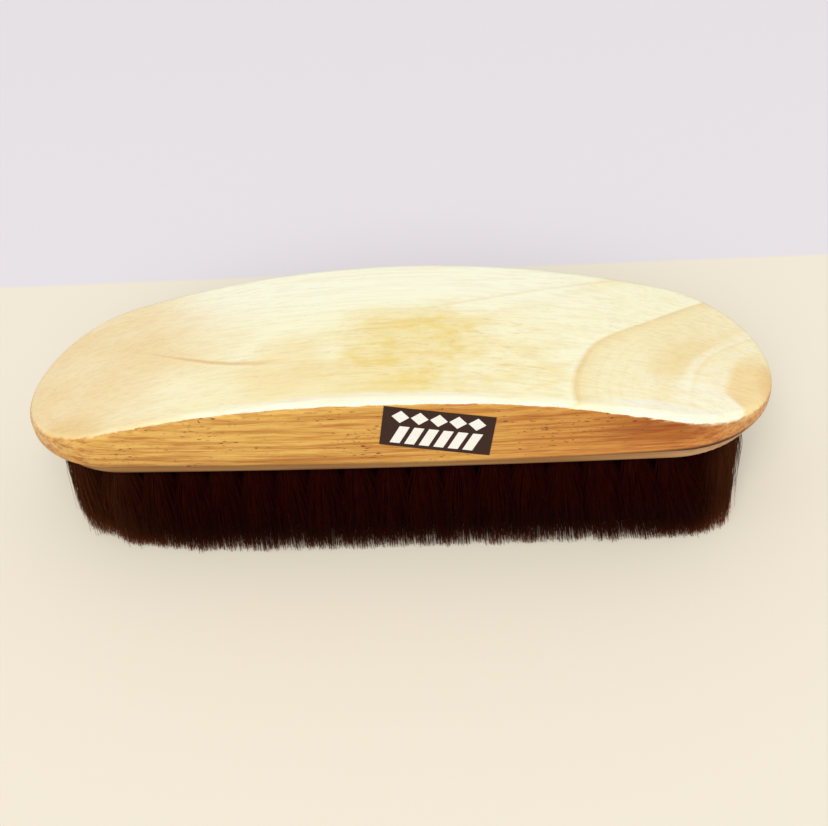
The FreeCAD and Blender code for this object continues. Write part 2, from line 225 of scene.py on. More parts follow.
varnished_wood, tree, shader = new_finish("varnished_wood")
place, along, across_it, height = millimetres(tree)
from_line = add(tree, "VectorMath", {0: place, 1: RING_LINE}, operation="SUBTRACT").outputs[0]
_, beside, above = add(tree, "SeparateXYZ", {0: from_line}).outputs
above = scaled(tree, along, RING_SLOPE, above)
ring = calc(tree, "SQRT", scaled(tree, beside, beside, product(tree, above, above)))
wander = less(tree, noise(tree, place, (0.3, 1.0, 1.0), 0.035, 1.0), 0.5)
ring = scaled(tree, wander, RING_WANDER, ring)
from_left_line = scaled(tree, along, LEFT_LINE_SLOPE, less(tree, ring, LEFT_LINE_RING))
from_left_line = calc(tree, "ABSOLUTE", from_left_line)
from_far_line = scaled(tree, along, FAR_LINE_SLOPE, less(tree, ring, FAR_LINE_RING))
from_far_line = calc(tree, "ABSOLUTE", from_far_line)
swell = scaled(tree, across_it, 1 / SWELL_WIDTH, SWELL_SHIFT)
swell = product(tree, calc(tree, "EXPONENT", product(tree, swell, swell, -1.0)), SWELL_DEPTH)
flare = calc(tree, "MAXIMUM", less(tree, across_it, FLARE_START), 0.0)
swell = scaled(tree, product(tree, flare, flare), FLARE_GROWTH, swell)
swell = product(tree, swell, band(tree, along, 0.0, 30.0))
ring = less(tree, ring, swell)
print("ring nodes", len(tree.nodes))

# %% [markdown]
# At the right end the rings show as a loop with a sharp outer line, a warm far half, a darker patch
# inside and a golden tip, and the near end of the loop carries a painted highlight. A ramp over the
# ring distance gives the lines. Soft masks then warm the parts of the loop, because real rings vary
# along their length, and pale its near end as a painted highlight.

# %% Loop at the right end
RING_COLOURS = [
    (44.0, (249, 240, 200)), (53.6, (249, 241, 202)), (54.0, (245, 230, 180)),
    (54.3, (251, 246, 214)), (56.0, (246, 231, 182)), (57.4, (249, 240, 200)),
    (60.6, (248, 239, 196)), (61.6, (245, 230, 180)), (61.95, (236, 210, 150)),
    (62.25, (251, 248, 213)), (67.5, (251, 247, 210)), (69.6, (247, 235, 188)),
    (70.2, (251, 248, 211)), (84.0, (252, 250, 218))]
LOOP_WARM, LOOP_HIGHLIGHT, LOOP_PATCH = (245, 224, 168), (253, 250, 226), (239, 213, 148)
TIP_GOLD, TIP_EDGE_GOLD, FINE_RING = (242, 212, 146), (232, 186, 116), (240, 221, 168)
FINE_RINGS_PER_MM = 8.2

lit_top_wood = ramp(tree, ring, 44.0, 84.0, RING_COLOURS)
in_loop = band(tree, ring, 62.2, 61.8)
far_half = product(tree, in_loop, band(tree, across_it, -14.0, 6.0),
                   band(tree, along, 92.0, 66.0), 0.45)
lit_top_wood = mix(tree, far_half, lit_top_wood, LOOP_WARM)
# Painted highlight on the near end of the loop.
near_end_highlight = product(tree, in_loop, band(tree, along, 60.0, 74.0),
                   band(tree, across_it, -6.0, -16.0), 0.62)
lit_top_wood = mix(tree, near_end_highlight, lit_top_wood, LOOP_HIGHLIGHT)
loop_patch = product(tree, band(tree, ring, 54.7, 55.3), band(tree, ring, 58.8, 57.0),
                     band(tree, across_it, -13.0, -9.0), band(tree, across_it, 9.0, 0.0), 0.55)
lit_top_wood = mix(tree, loop_patch, lit_top_wood, LOOP_PATCH)
toward_back = calc(tree, "MAXIMUM", calc(tree, "ADD", across_it, 9.0), 0.0)
toward_front = calc(tree, "MAXIMUM", less(tree, -13.0, across_it), 0.0)
tip = scaled(tree, toward_front, 0.4, scaled(tree, toward_back, -0.05, ring))
tip = product(tree, band(tree, tip, 51.7, 50.7), band(tree, across_it, 9.0, -5.0), 0.85)
lit_top_wood = mix(tree, tip, lit_top_wood, TIP_GOLD)
tip_edge = product(tree, band(tree, along, 84.5, 88.5), band(tree, across_it, 2.0, -6.0), 0.7)
lit_top_wood = mix(tree, tip_edge, lit_top_wood, TIP_EDGE_GOLD)
fine_rings = calc(tree, "SINE", calc(tree, "MULTIPLY", ring, FINE_RINGS_PER_MM))
fine_rings = product(tree, band(tree, fine_rings, 0.2, 1.0), band(tree, ring, 62.2, 62.0),
                     band(tree, ring, 56.5, 58.5), 0.2)
lit_top_wood = mix(tree, fine_rings, lit_top_wood, FINE_RING)
print("stops in the ring ramp", len(RING_COLOURS))

# %% [markdown]
# The varnish has yellowed unevenly: the left end is peach with one thin dark ring, and the far edge
# is almost white with another. Painting such areas by hand would need an image.
# Each is a soft mask made from the position instead, roughened with noise.

# %% Colour of the top
STREAK_STRAW, LEFT_PEACH, LEFT_LINE_BROWN = (245, 230, 172), (242, 216, 162), (219, 171, 105)
FAR_EDGE_WHITE, FAR_LINE_BROWN = (251, 250, 223), (228, 190, 126)

cloud = noise(tree, place, (0.45, 1.0, 1.0), 0.11, 4.0, 0.6)
long_streaks = noise(tree, place, (0.025, 1.0, 1.0), 0.45, 3.0)
long_streaks = product(tree, band(tree, long_streaks, 0.42, 0.68), 0.3)
lit_top_wood = mix(tree, long_streaks, lit_top_wood, STREAK_STRAW)
above_line = product(tree, band(tree, across_it, -12.0, -2.0), band(tree, across_it, 22.0, 12.0))
toward_left = scaled(tree, above_line, -14.0, calc(tree, "ADD", along, 34.0))
toward_left = product(tree, band(tree, toward_left, 0.0, -42.0), scaled(tree, cloud, 1.0, 0.4))
lit_top_wood = mix(tree, toward_left, lit_top_wood, LEFT_PEACH)
left_line = product(tree, band(tree, from_left_line, 0.14, 0.03), band(tree, along, -20.0, -30.0),
                    band(tree, along, -66.0, -42.0), 0.6)
lit_top_wood = mix(tree, left_line, lit_top_wood, LEFT_LINE_BROWN)
pale_edge = product(tree, band(tree, across_it, 0.0, 18.0), band(tree, along, -62.0, -36.0),
                    band(tree, along, 62.0, 34.0), 0.9)
lit_top_wood = mix(tree, pale_edge, lit_top_wood, FAR_EDGE_WHITE)
far_line = product(tree, band(tree, from_far_line, 0.28, 0.05), band(tree, along, 4.0, 16.0),
                   band(tree, along, 66.0, 58.0), 0.22)
lit_top_wood = mix(tree, far_line, lit_top_wood, FAR_LINE_BROWN)
print("nodes after the top", len(tree.nodes))

# %% [markdown]
# The middle of the top has a mottled golden patch where a hand has worn the varnish, with a second
# faint one beside it and short dark dashes of grain. Distance from a spot, measured in shares of two
# radii, gives an oval, and cloudy noise added to that distance breaks its edge up.

# %% Golden patch
PEACH, PATCH_GOLD, DASH_BROWN = (243, 219, 156), (240, 216, 136), (224, 186, 108)


def from_spot(spot, radii):
    """Distance from a spot on the top, as a share of two radii."""
    first = calc(tree, "DIVIDE", less(tree, along, spot[0]), radii[0])
    second = calc(tree, "DIVIDE", less(tree, across_it, spot[1]), radii[1])
    return calc(tree, "SQRT", scaled(tree, first, first, product(tree, second, second)))


peach = band(tree, from_spot((-23.0, -12.0), (11.0, 12.0)), 1.2, 0.5)
lit_top_wood = mix(tree, product(tree, peach, 0.55), lit_top_wood, PEACH)
patch = calc(tree, "MINIMUM", from_spot((7.0, -8.5), (19.0, 13.5)),
             from_spot((32.0, -15.0), (9.0, 11.0)))
patch = scaled(tree, cloud, 2.8, less(tree, patch, 1.4))
mottle = band(tree, noise(tree, place, (0.5, 1.0, 1.0), 0.22, 3.0, 0.6), 0.36, 0.62)
fainter = scaled(tree, band(tree, along, 20.0, 30.0), -0.55, 1.0)
patch = product(tree, band(tree, patch, 1.6, 0.5), scaled(tree, mottle, 0.6, 0.45), fainter)
lit_top_wood = mix(tree, patch, lit_top_wood, PATCH_GOLD)
dashes = band(tree, noise(tree, place, (0.16, 1.0, 1.0), 1.3, 2.0), 0.58, 0.70)
near_patch = band(tree, from_spot((12.0, -8.0), (38.0, 19.0)), 1.1, 0.6)
lit_top_wood = mix(tree, product(tree, dashes, near_patch, 0.35), lit_top_wood, DASH_BROWN)
print("nodes after the patch", len(tree.nodes))

# %% [markdown]
# The upright sides are a deep honey that reddens to the right, with the growth rings as long bands,
# and are darker than the top as painted shade. A ramp along the brush gives the main colour, and a
# sine of the ring distance gives the bands.

# %% Colour of the sides
SIDE_COLOURS = [
    (-90.0, (232, 190, 116)), (-76.0, (218, 173, 90)), (-30.0, (218, 174, 88)),
    (15.0, (213, 162, 78)), (45.0, (197, 137, 60)), (64.0, (170, 95, 20)),
    (74.0, (194, 126, 54)), (86.0, (240, 200, 134))]
RED_HONEY, PALE_HONEY, BAND_BROWN = (158, 82, 12), (208, 142, 66), (186, 122, 46)
SIDE_BANDS_PER_MM = 2.1

shaded_side_wood = ramp(tree, along, -90.0, 90.0, SIDE_COLOURS)
red_right = product(tree, band(tree, along, 46.0, 58.0), band(tree, along, 78.0, 68.0),
                    band(tree, height, 32.0, 34.0), 0.5)
shaded_side_wood = mix(tree, red_right, shaded_side_wood, RED_HONEY)
low_right = product(tree, band(tree, height, 33.5, 31.0), band(tree, along, 25.0, 55.0), 0.65)
shaded_side_wood = mix(tree, low_right, shaded_side_wood, PALE_HONEY)
side_bands = calc(tree, "SINE", calc(tree, "MULTIPLY", ring, SIDE_BANDS_PER_MM))
side_bands = product(tree, band(tree, side_bands, 0.0, 1.0), 0.30)
shaded_side_wood = mix(tree, side_bands, shaded_side_wood, BAND_BROWN)
print("stops in the side ramp", len(SIDE_COLOURS))

# %% [markdown]
# Top and sides meet at the rounded rim, where the pale top ends in a ragged line. How far a surface
# faces up says which of the two it is, so the top is painted paler as if lit and the sides darker as
# if in shade, and noise drawn out along the grain makes the line ragged.
# Along its front the rim carries a painted highlight, apart from one weaker stretch.

# %% Where top and sides meet
RIM_HIGHLIGHT_WHITE, LEFT_RIM_GOLD, LEFT_CORNER_GOLD = (246, 243, 220), (240, 214, 158), (230, 196, 124)
RIM_SHIFTS = [(-40.0, 5.0, 0.20), (8.0, 26.0, -0.12), (36.0, 60.0, 0.28)]
FRONT_SIDE, SIDE_BOW = 26.0, 2910

facing = add(tree, "NewGeometry").outputs["Normal"]
facing = add(tree, "SeparateXYZ", {0: facing}).outputs[2]
ragged = less(tree, noise(tree, place, (0.2, 1.0, 1.0), 1.5), 0.5)
ragged = scaled(tree, ragged, 0.3, facing)
for start, end, shift in RIM_SHIFTS:
    ragged = scaled(tree, band(tree, along, start, end), shift, ragged)
ends = band(tree, calc(tree, "ABSOLUTE", along), 58.0, 80.0)
on_top = choose(tree, ends, band(tree, ragged, 0.60, 0.76), band(tree, ragged, 0.42, 0.88))
from_rim = scaled(tree, product(tree, along, along), -1 / SIDE_BOW,
                  calc(tree, "ADD", across_it, FRONT_SIDE))
# Painted highlight along the front of the rim.
rim_highlight = scaled(tree, cloud, 5.0, less(tree, from_rim, 2.5))
rim_highlight = scaled(tree, band(tree, along, 35.0, 62.0), -1.5, rim_highlight)
weaker_highlight_stretch = product(tree, band(tree, along, 20.0, 30.0), band(tree, along, 56.0, 48.0))
rim_highlight = product(tree, band(tree, rim_highlight, 3.4, 1.8), band(tree, along, -52.0, -25.0),
                    band(tree, along, 82.0, 68.0), scaled(tree, weaker_highlight_stretch, -0.5, 0.8))
lit_top_wood = mix(tree, rim_highlight, lit_top_wood, RIM_HIGHLIGHT_WHITE)
left_rim = product(tree, band(tree, from_rim, 4.0, 1.0), band(tree, along, -40.0, -58.0), 0.6)
lit_top_wood = mix(tree, left_rim, lit_top_wood, LEFT_RIM_GOLD)
left_corner = band(tree, from_spot((-76.0, -21.0), (11.0, 5.0)), 1.3, 0.4)
lit_top_wood = mix(tree, product(tree, left_corner, 0.6), lit_top_wood, LEFT_CORNER_GOLD)
# Painted light and shade: surfaces that face up take the pale lit colour of the top, the sides the
# darker shaded one.
wood = choose(tree, on_top, shaded_side_wood, lit_top_wood)
print("nodes after the rim", len(tree.nodes))

# %% [markdown]
# Fibres and pores follow the grain, so they are noise drawn out along the brush. They show more on
# the sides than on the top, which is painted pale as if lit. Pores crowd together in places, so a
# slow noise is added to the fast one before both are cut off at a level.

# %% Grain and pores
STREAK_SHADE, FIBRE_SHADE, PORE_SHADE = (205, 162, 112), (205, 168, 126), (158, 108, 70)

streaks = noise(tree, place, (0.03, 1.0, 1.0), 1.1, 3.0, 0.6)
fibre = noise(tree, place, (0.06, 1.0, 1.0), 3.2, 3.0, 0.65)
less_on_top = scaled(tree, on_top, -0.84, 1.0)
streak_depth = product(tree, band(tree, streaks, 0.42, 0.66), less_on_top, 0.75)
wood = mix(tree, streak_depth, wood, STREAK_SHADE, "MULTIPLY")
fibre_depth = product(tree, band(tree, fibre, 0.44, 0.68), less_on_top, 0.48)
wood = mix(tree, fibre_depth, wood, FIBRE_SHADE, "MULTIPLY")
pore_field = noise(tree, place, (0.28, 1.0, 1.0), 2.4, 1.0)
crowding = noise(tree, place, (0.5, 1.0, 1.0), 0.12, 1.0)
pores = band(tree, scaled(tree, crowding, 0.4, pore_field), 0.88, 0.95)
fewer_on_top = scaled(tree, on_top, -0.75, 0.85)
wood = mix(tree, product(tree, pores, fewer_on_top), wood, PORE_SHADE, "MULTIPLY")
print("nodes after the grain", len(tree.nodes))

# %% [markdown]
# The joint with the board is darkened as painted shade, most of all to the right where the joint
# stands slightly open, and the side is darker towards the bottom at the left. Both darken what is
# already there, so they are multiplied in. A thin clear coat gives the varnish its shine, and the
# fibres a little relief.

# %% Joint shade, darker lower left and varnish
JOINT_SHADE_BROWN, LOWER_LEFT_TONE = (90, 46, 18), (206, 176, 150)
JOINT_SHADE_HEIGHT, JOINT_SHADE_RISE, JOINT_SHADE_SOFTNESS = 29.4, 0.4, 0.45

# Painted shade along the joint, deepest where the joint stands open.
openness = band(tree, along, 40.0, 74.0)
joint_shade_top = scaled(tree, band(tree, along, 58.0, 74.0), JOINT_SHADE_RISE, JOINT_SHADE_HEIGHT)
joint_shade = band(tree, less(tree, height, joint_shade_top), JOINT_SHADE_SOFTNESS, -JOINT_SHADE_SOFTNESS)
joint_shade_depth = product(tree, band(tree, along, -88.0, -45.0), 0.6)
joint_shade_depth = scaled(tree, openness, 0.4, joint_shade_depth)
joint_shade_depth = product(tree, joint_shade, joint_shade_depth, band(tree, along, 88.0, 77.0))
wood = mix(tree, joint_shade_depth, wood, JOINT_SHADE_BROWN, "MULTIPLY")
# The side is darker towards the bottom at the left.
lower_left_darkening = product(tree, band(tree, height, 33.5, 29.5), band(tree, along, 20.0, -15.0),
               less_on_top, 0.4)
wood = mix(tree, lower_left_darkening, wood, LOWER_LEFT_TONE, "MULTIPLY")
tree.links.new(wood, shader.inputs["Base Color"])
relief = less(tree, product(tree, fibre, 0.3), pores)
bump = add(tree, "Bump", {"Height": relief, "Strength": 0.2, "Distance": 0.0001})
tree.links.new(bump.outputs[0], shader.inputs["Normal"])
tree.links.new(scaled(tree, fibre, 0.14, 0.36), shader.inputs["Roughness"])
shader.inputs["Specular IOR Level"].default_value = 0.25
shader.inputs["Coat Weight"].default_value = 0.2
shader.inputs["Coat Roughness"].default_value = 0.3
dress("handle_back", varnished_wood)
print("varnished wood nodes", len(tree.nodes))

# %% [markdown]
# The thin board under the back was left bare, so it is greyer and dull. It could share the finish of
# the back, but bare wood has no coat and no rings to show on so thin an edge. It gets straight
# fibres, a paler right end, a line of painted shade where it meets the back, and is darker along its
# foot.

# %% Bare wood
BOARD_COLOURS = [
    (-90.0, (170, 130, 84)), (-60.0, (150, 110, 64)), (0.0, (154, 113, 71)),
    (40.0, (150, 110, 64)), (62.0, (166, 126, 82)), (84.0, (200, 164, 126))]
BOARD_FIBRE, SEAM_SHADE_BROWN, FOOT_BROWN = (200, 176, 146), (90, 52, 28), (110, 66, 38)

bare_wood, tree, shader = new_finish("bare_wood")
place, along, _, height = millimetres(tree)
grain = noise(tree, place, (0.03, 1.0, 1.0), 1.6, 4.0, 0.6)
board_wood = ramp(tree, along, -90.0, 90.0, BOARD_COLOURS)
grain_depth = product(tree, band(tree, grain, 0.35, 0.7), 0.45)
board_wood = mix(tree, grain_depth, board_wood, BOARD_FIBRE, "MULTIPLY")
openness = band(tree, along, 40.0, 74.0)
# Painted shade in the joint with the back, deepest where the joint stands open.
seam_shade = product(tree, band(tree, height, 28.1, 28.6), scaled(tree, openness, 0.6, 0.2))
board_wood = mix(tree, seam_shade, board_wood, SEAM_SHADE_BROWN, "MULTIPLY")
# The board is darker along its foot, towards the right.
foot_darkening = product(tree, band(tree, height, 26.5, 25.8), band(tree, along, 70.0, 45.0), 0.7)
board_wood = mix(tree, foot_darkening, board_wood, FOOT_BROWN, "MULTIPLY")
tree.links.new(board_wood, shader.inputs["Base Color"])
bump = add(tree, "Bump", {"Height": grain, "Strength": 0.3, "Distance": 0.0001})
tree.links.new(bump.outputs[0], shader.inputs["Normal"])
shader.inputs["Roughness"].default_value = 0.75
shader.inputs["Specular IOR Level"].default_value = 0.25
dress("tuft_board", bare_wood)
print("bare wood nodes", len(tree.nodes))

# %% [markdown]
# The drawing wires lie inside, between board and back. They get a plain drawn-steel finish
# with faint lengthwise marks, so that they look right if the brush is taken apart.

# %% Drawn steel
STEEL_COLOURS = [(0.3, (190, 187, 182)), (0.7, (212, 209, 203))]

drawn_steel, tree, shader = new_finish("drawn_steel")
place, *_ = millimetres(tree)
draw_marks = noise(tree, place, (0.05, 1.0, 1.0), 20.0)
steel = ramp(tree, draw_marks, 0.0, 1.0, STEEL_COLOURS)
tree.links.new(steel, shader.inputs["Base Color"])
tree.links.new(scaled(tree, draw_marks, 0.2, 0.25), shader.inputs["Roughness"])
shader.inputs["Metallic"].default_value = 1.0
wires = [name for name in nodes if name.startswith("drawing_wire")]
for name in wires:
    dress(name, drawn_steel)
print("wires", len(wires))

# %% [markdown]
# The paper label is dark brown with two rows of off-white marks: small diamonds above and larger
# slanted bars below. It was stuck on crookedly, so the pattern is turned by the same angle.
# The marks could be cut out as thin meshes, but flat print has no thickness. They are drawn by
# arithmetic on the label's own along and up coordinates instead.

# %% Printed paper
LABEL_MIDDLE = (12.2, 0.0, 38.7)
LABEL_TILT = math.radians(10.7)
DIAMOND_PITCH, DIAMOND_HEIGHT, DIAMOND_STRETCH, DIAMOND_SIZE, DIAMONDS = 4.3, 3.2, 4.0, 0.46, 5
BAR_PITCH, BAR_HEIGHT, BAR_REACH, BAR_SLANT, BAR_SIZE, BARS = 3.3, -2.2, 2.6, 0.35, 0.34, 6
PAPER_BROWN = [(0.3, (44, 24, 18)), (0.75, (58, 35, 27))]
PRINT_WHITE = [(0.3, (238, 236, 230)), (0.75, (226, 222, 213))]

printed_paper, tree, shader = new_finish("printed_paper")
place, *_ = millimetres(tree)
centred = add(tree, "VectorMath", {0: place, 1: LABEL_MIDDLE}, operation="SUBTRACT").outputs[0]
turned = add(tree, "VectorRotate", {"Vector": centred, "Angle": -LABEL_TILT},
             rotation_type="Y_AXIS").outputs[0]
along, _, up = add(tree, "SeparateXYZ", {0: turned}).outputs


def repeated(value, pitch, shift):
    """Distance from the middle of the nearest repeat, as a share of the pitch."""
    share = calc(tree, "FRACT", scaled(tree, value, 1 / pitch, shift))
    return calc(tree, "ABSOLUTE", less(tree, share, 0.5))


def nearer(value, middle, limit):
    """1 where a value lies within a limit of a middle."""
    return calc(tree, "LESS_THAN", calc(tree, "ABSOLUTE", less(tree, value, middle)), limit)


diamond = calc(tree, "ABSOLUTE", less(tree, up, DIAMOND_HEIGHT))
diamond = calc(tree, "DIVIDE", diamond, DIAMOND_STRETCH)
diamond = calc(tree, "ADD", repeated(along, DIAMOND_PITCH, 0.5), diamond)
diamonds = product(tree, calc(tree, "LESS_THAN", diamond, DIAMOND_SIZE),
                   nearer(along, 0.0, DIAMONDS / 2 * DIAMOND_PITCH))
slant = scaled(tree, less(tree, up, BAR_HEIGHT), -BAR_SLANT, along)
bar = calc(tree, "LESS_THAN", repeated(slant, BAR_PITCH, 0.0), BAR_SIZE)
bars = product(tree, bar, nearer(slant, 0.0, BARS / 2 * BAR_PITCH),
               nearer(up, BAR_HEIGHT, BAR_REACH))
ink = calc(tree, "MAXIMUM", diamonds, bars)
scuff = noise(tree, place, (1.0, 1.0, 1.0), 3.0, 3.0)
ground = ramp(tree, scuff, 0.0, 1.0, PAPER_BROWN)
marks = ramp(tree, scuff, 0.0, 1.0, PRINT_WHITE)
tree.links.new(choose(tree, ink, ground, marks), shader.inputs["Base Color"])
shader.inputs["Roughness"].default_value = 0.55
shader.inputs["Specular IOR Level"].default_value = 0.2
dress("label", printed_paper)
print("printed paper nodes", len(tree.nodes))

# %% [markdown]
# The hair is what makes the brush. Blender's own hair curves would not export as plain meshes, so
# every hair is a thin mesh. One hair is a three-sided cone, cut once across and bent, which is only
# a few faces. It has a length of 1, so that it can be hung at any length later.

# %% One bent hair
HAIR_ROOT = 0.00011
HAIR_TIP = 0.000055
HAIR_CUTS = 1
HAIR_SHAPES = 8
dice = random.Random(41)


def bent_hair(name, bow, flick):
    """A hair of length 1 hanging from the origin, bowed sideways and flicked at its tip."""
    shape = bmesh.new()
    bmesh.ops.create_cone(shape, cap_ends=True, segments=3, radius1=HAIR_TIP, radius2=HAIR_ROOT,
                          depth=1.0)
    bmesh.ops.translate(shape, vec=(0.0, 0.0, -0.5), verts=shape.verts)
    long_edges = [edge for edge in shape.edges if edge.calc_length() > 0.5]
    bmesh.ops.subdivide_edges(shape, edges=long_edges, cuts=HAIR_CUTS, use_grid_fill=True)
    for vertex in shape.verts:
        fall = -vertex.co.z
        vertex.co.x += bow * math.sin(math.pi * fall) + flick * fall ** 3
    for face in shape.faces:
        face.smooth = True
    mesh = bpy.data.meshes.new(name)
    shape.to_mesh(mesh)
    shape.free()
    return mesh


hairs = [bent_hair(f"hair_{index}", dice.uniform(0.0004, 0.0018), dice.uniform(-0.0008, 0.0008))
         for index in range(HAIR_SHAPES)]
HAIR_POINTS = len(hairs[0].vertices)
print("faces in one hair", len(hairs[0].polygons), "points", HAIR_POINTS)

# %% [markdown]
# Each tuft is a bundle of hairs that leave the hole side by side and spread towards the tips, and
# the tips end at slightly different heights. A few hairs are loose: they spread further and have
# broken off shorter. Copies of the bent hairs make a few different tufts, so that no two tufts on
# the brush look alike although few shapes are modelled.

# %% Tuft shapes
BOARD_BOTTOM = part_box("tuft_board")[0].z
ROOT_HEIGHT = BOARD_BOTTOM + 0.0008
FLOOR_GAP = 0.0001
MOUTH_RADIUS = 0.00205
SPREAD_RADIUS = 0.0058
TIP_SCATTER = 0.0006
SHORTEST_LOSS = 0.004
HAIRS_PER_TUFT = 580
TUFT_SHAPES = 8
GOLDEN_SHARE = 0.618034


def place_copy(shape, mesh, matrix):
    """Adds a moved copy of a mesh to a shape."""
    first_new = len(shape.verts)
    shape.from_mesh(mesh)
    shape.verts.ensure_lookup_table()
    bmesh.ops.transform(shape, matrix=matrix, verts=shape.verts[first_new:])


def hang(sideways, length):
    """Hangs a unit hair down by a length while its tip moves sideways."""
    return Matrix(((1.0, 0.0, -sideways.x, 0.0), (0.0, 1.0, -sideways.y, 0.0),
                   (0.0, 0.0, length, 0.0), (0.0, 0.0, 0.0, 1.0)))


def looseness(number):
    """How loose a hair of a tuft is, from 0 to 1: most hairs hardly, a few a lot."""
    return (number * GOLDEN_SHARE % 1.0) ** 3


def make_tuft(name):
    """One tuft that hangs from the origin, with ragged tips."""
    shape = bmesh.new()
    for number in range(HAIRS_PER_TUFT):
        angle = dice.uniform(0.0, 2.0 * math.pi)
        share = math.sqrt(dice.random())
        direction = Vector((math.cos(angle), math.sin(angle), 0.0))
        root = direction * MOUTH_RADIUS * share
        tip = direction * SPREAD_RADIUS * share * (1.0 + 0.25 * looseness(number))
        tip += Vector((dice.gauss(0.0, TIP_SCATTER), dice.gauss(0.0, TIP_SCATTER), 0.0))
        length = ROOT_HEIGHT - FLOOR_GAP - min(abs(dice.gauss(0.0, TIP_SCATTER)), SHORTEST_LOSS)
        length *= 1.0 - dice.uniform(0.0, 0.35) * looseness(number)
        turn = Matrix.Rotation(angle + dice.gauss(0.0, 0.6), 4, "Z")
        hung = Matrix.Translation(root) @ hang(tip - root, length) @ turn
        place_copy(shape, dice.choice(hairs), hung)
    mesh = bpy.data.meshes.new(name)
    shape.to_mesh(mesh)
    shape.free()
    return mesh


def triangles(mesh):
    """How many triangles a mesh will have when it is exported."""
    return sum(len(polygon.vertices) - 2 for polygon in mesh.polygons)


tufts = [make_tuft(f"tuft_{index}") for index in range(TUFT_SHAPES)]
print("hairs in a tuft", HAIRS_PER_TUFT, "triangles", triangles(tufts[0]))

# %% [markdown]
# The hair is almost black. It turns brown towards both ends of the brush, and its tips have faded
# to a lighter brown, higher up at the ends than in the middle. Noise that is fine across the hairs
# and long along them gives each lock its own shade.
# Little of the light is mirrored, because such fine hairs scatter it.

# %% Dark hair
LOCK_COLOURS = [(0.30, (30, 2, 1)), (0.72, (46, 8, 2))]
LEFT_BROWN, RIGHT_BROWN, FADED_BROWN = (72, 35, 14), (86, 46, 22), (152, 80, 36)
FADE_HEIGHT, FADE_MORE_AT_ENDS = 1.6, 2.0

dark_hair, tree, shader = new_finish("dark_hair")
place, along, _, height = millimetres(tree)
lock = noise(tree, place, (1.0, 1.0, 0.04), 1.2, 3.0)
hair_colour = ramp(tree, lock, 0.0, 1.0, LOCK_COLOURS)
left_end = band(tree, along, -50.0, -85.0)
right_end = band(tree, along, 70.0, 82.0)
hair_colour = mix(tree, product(tree, left_end, 0.85), hair_colour, LEFT_BROWN)
hair_colour = mix(tree, product(tree, right_end, 0.7), hair_colour, RIGHT_BROWN)
fade = scaled(tree, calc(tree, "ADD", left_end, right_end), FADE_MORE_AT_ENDS, FADE_HEIGHT)
fade = calc(tree, "EXPONENT", calc(tree, "DIVIDE", product(tree, height, -1.0), fade))
hair_colour = mix(tree, product(tree, fade, 0.95), hair_colour, FADED_BROWN)
tree.links.new(hair_colour, shader.inputs["Base Color"])
shader.inputs["Roughness"].default_value = 0.6
shader.inputs["Specular IOR Level"].default_value = 0.02
print("dark hair nodes", len(tree.nodes))

# %% [markdown]
# Use has pushed the hair about. All tufts lean outwards a little, and the tips at the two front
# corners lean out to the corner, on the right much more than on the left.
# A physics simulation could bend them, but the lean in the photograph comes from years of use, so
# it is simply given.

# %% Lean of the tufts
TUFT_PITCH = 0.008
TUFT_SCATTER = 0.0004
OUTWARD_LEAN, LEAN_LESS_TO_RIGHT = 0.095, 6.0
PUSHED_CORNERS = [(Vector((0.077, -0.024, 0.0)), 0.65), (Vector((-0.072, -0.021, 0.0)), 0.15)]
PUSH_REACH = 0.022


def tuft_places(node_name):
    """Middles of the tufts in one row, read from the row's own box."""
    low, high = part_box(node_name)
    width = high.y - low.y
    count = round((high.x - low.x - width) / TUFT_PITCH) + 1
    middle = (low.y + high.y) / 2
    return [Vector((low.x + width / 2 + step * TUFT_PITCH, middle, ROOT_HEIGHT))
            for step in range(count)]


def push(spot):
    """How far the tips of a tuft are pushed sideways."""
    lean = Vector((dice.gauss(0.0, TUFT_SCATTER), dice.gauss(0.0, TUFT_SCATTER), 0.0))
    lean.y += spot.y * OUTWARD_LEAN * (1.0 - LEAN_LESS_TO_RIGHT * spot.x)
    for corner, strength in PUSHED_CORNERS:
        way = corner - Vector((spot.x, spot.y, 0.0))
        lean += way * strength * math.exp(-(way.length / PUSH_REACH) ** 2)
    return lean


hair_rows = sorted(node for node in nodes if node.startswith("tuft_row"))
print("tufts in the rows", [len(tuft_places(name)) for name in hair_rows])

# %% [markdown]
# The mass of hair as a whole keeps to a rounded outline, which widens a little from the board down
# to the tips. The outline is a superellipse: its exponent says how square the corners are.
# Points that stray past it are combed back, tight hairs almost all the way and loose ones less, so
# the edge ends in a soft fringe.

# %% Comb
SOFT_EDGE = 0.0015
END_REACH, LEFT_GROWTH, RIGHT_GROWTH = 0.0818, 0.0026, -0.0012
SIDE_REACH, SIDE_GROWTH, SIDE_GROWTH_SLOPE = 0.0224, 0.0042, -0.016
SQUARENESS, RIGHT_FRONT_SQUARER, LEFT_FRONT_SQUARER = 3.6, 4.2, -0.4
TIGHT_HOLD, LOOSE_SLACK = 0.93, 0.33


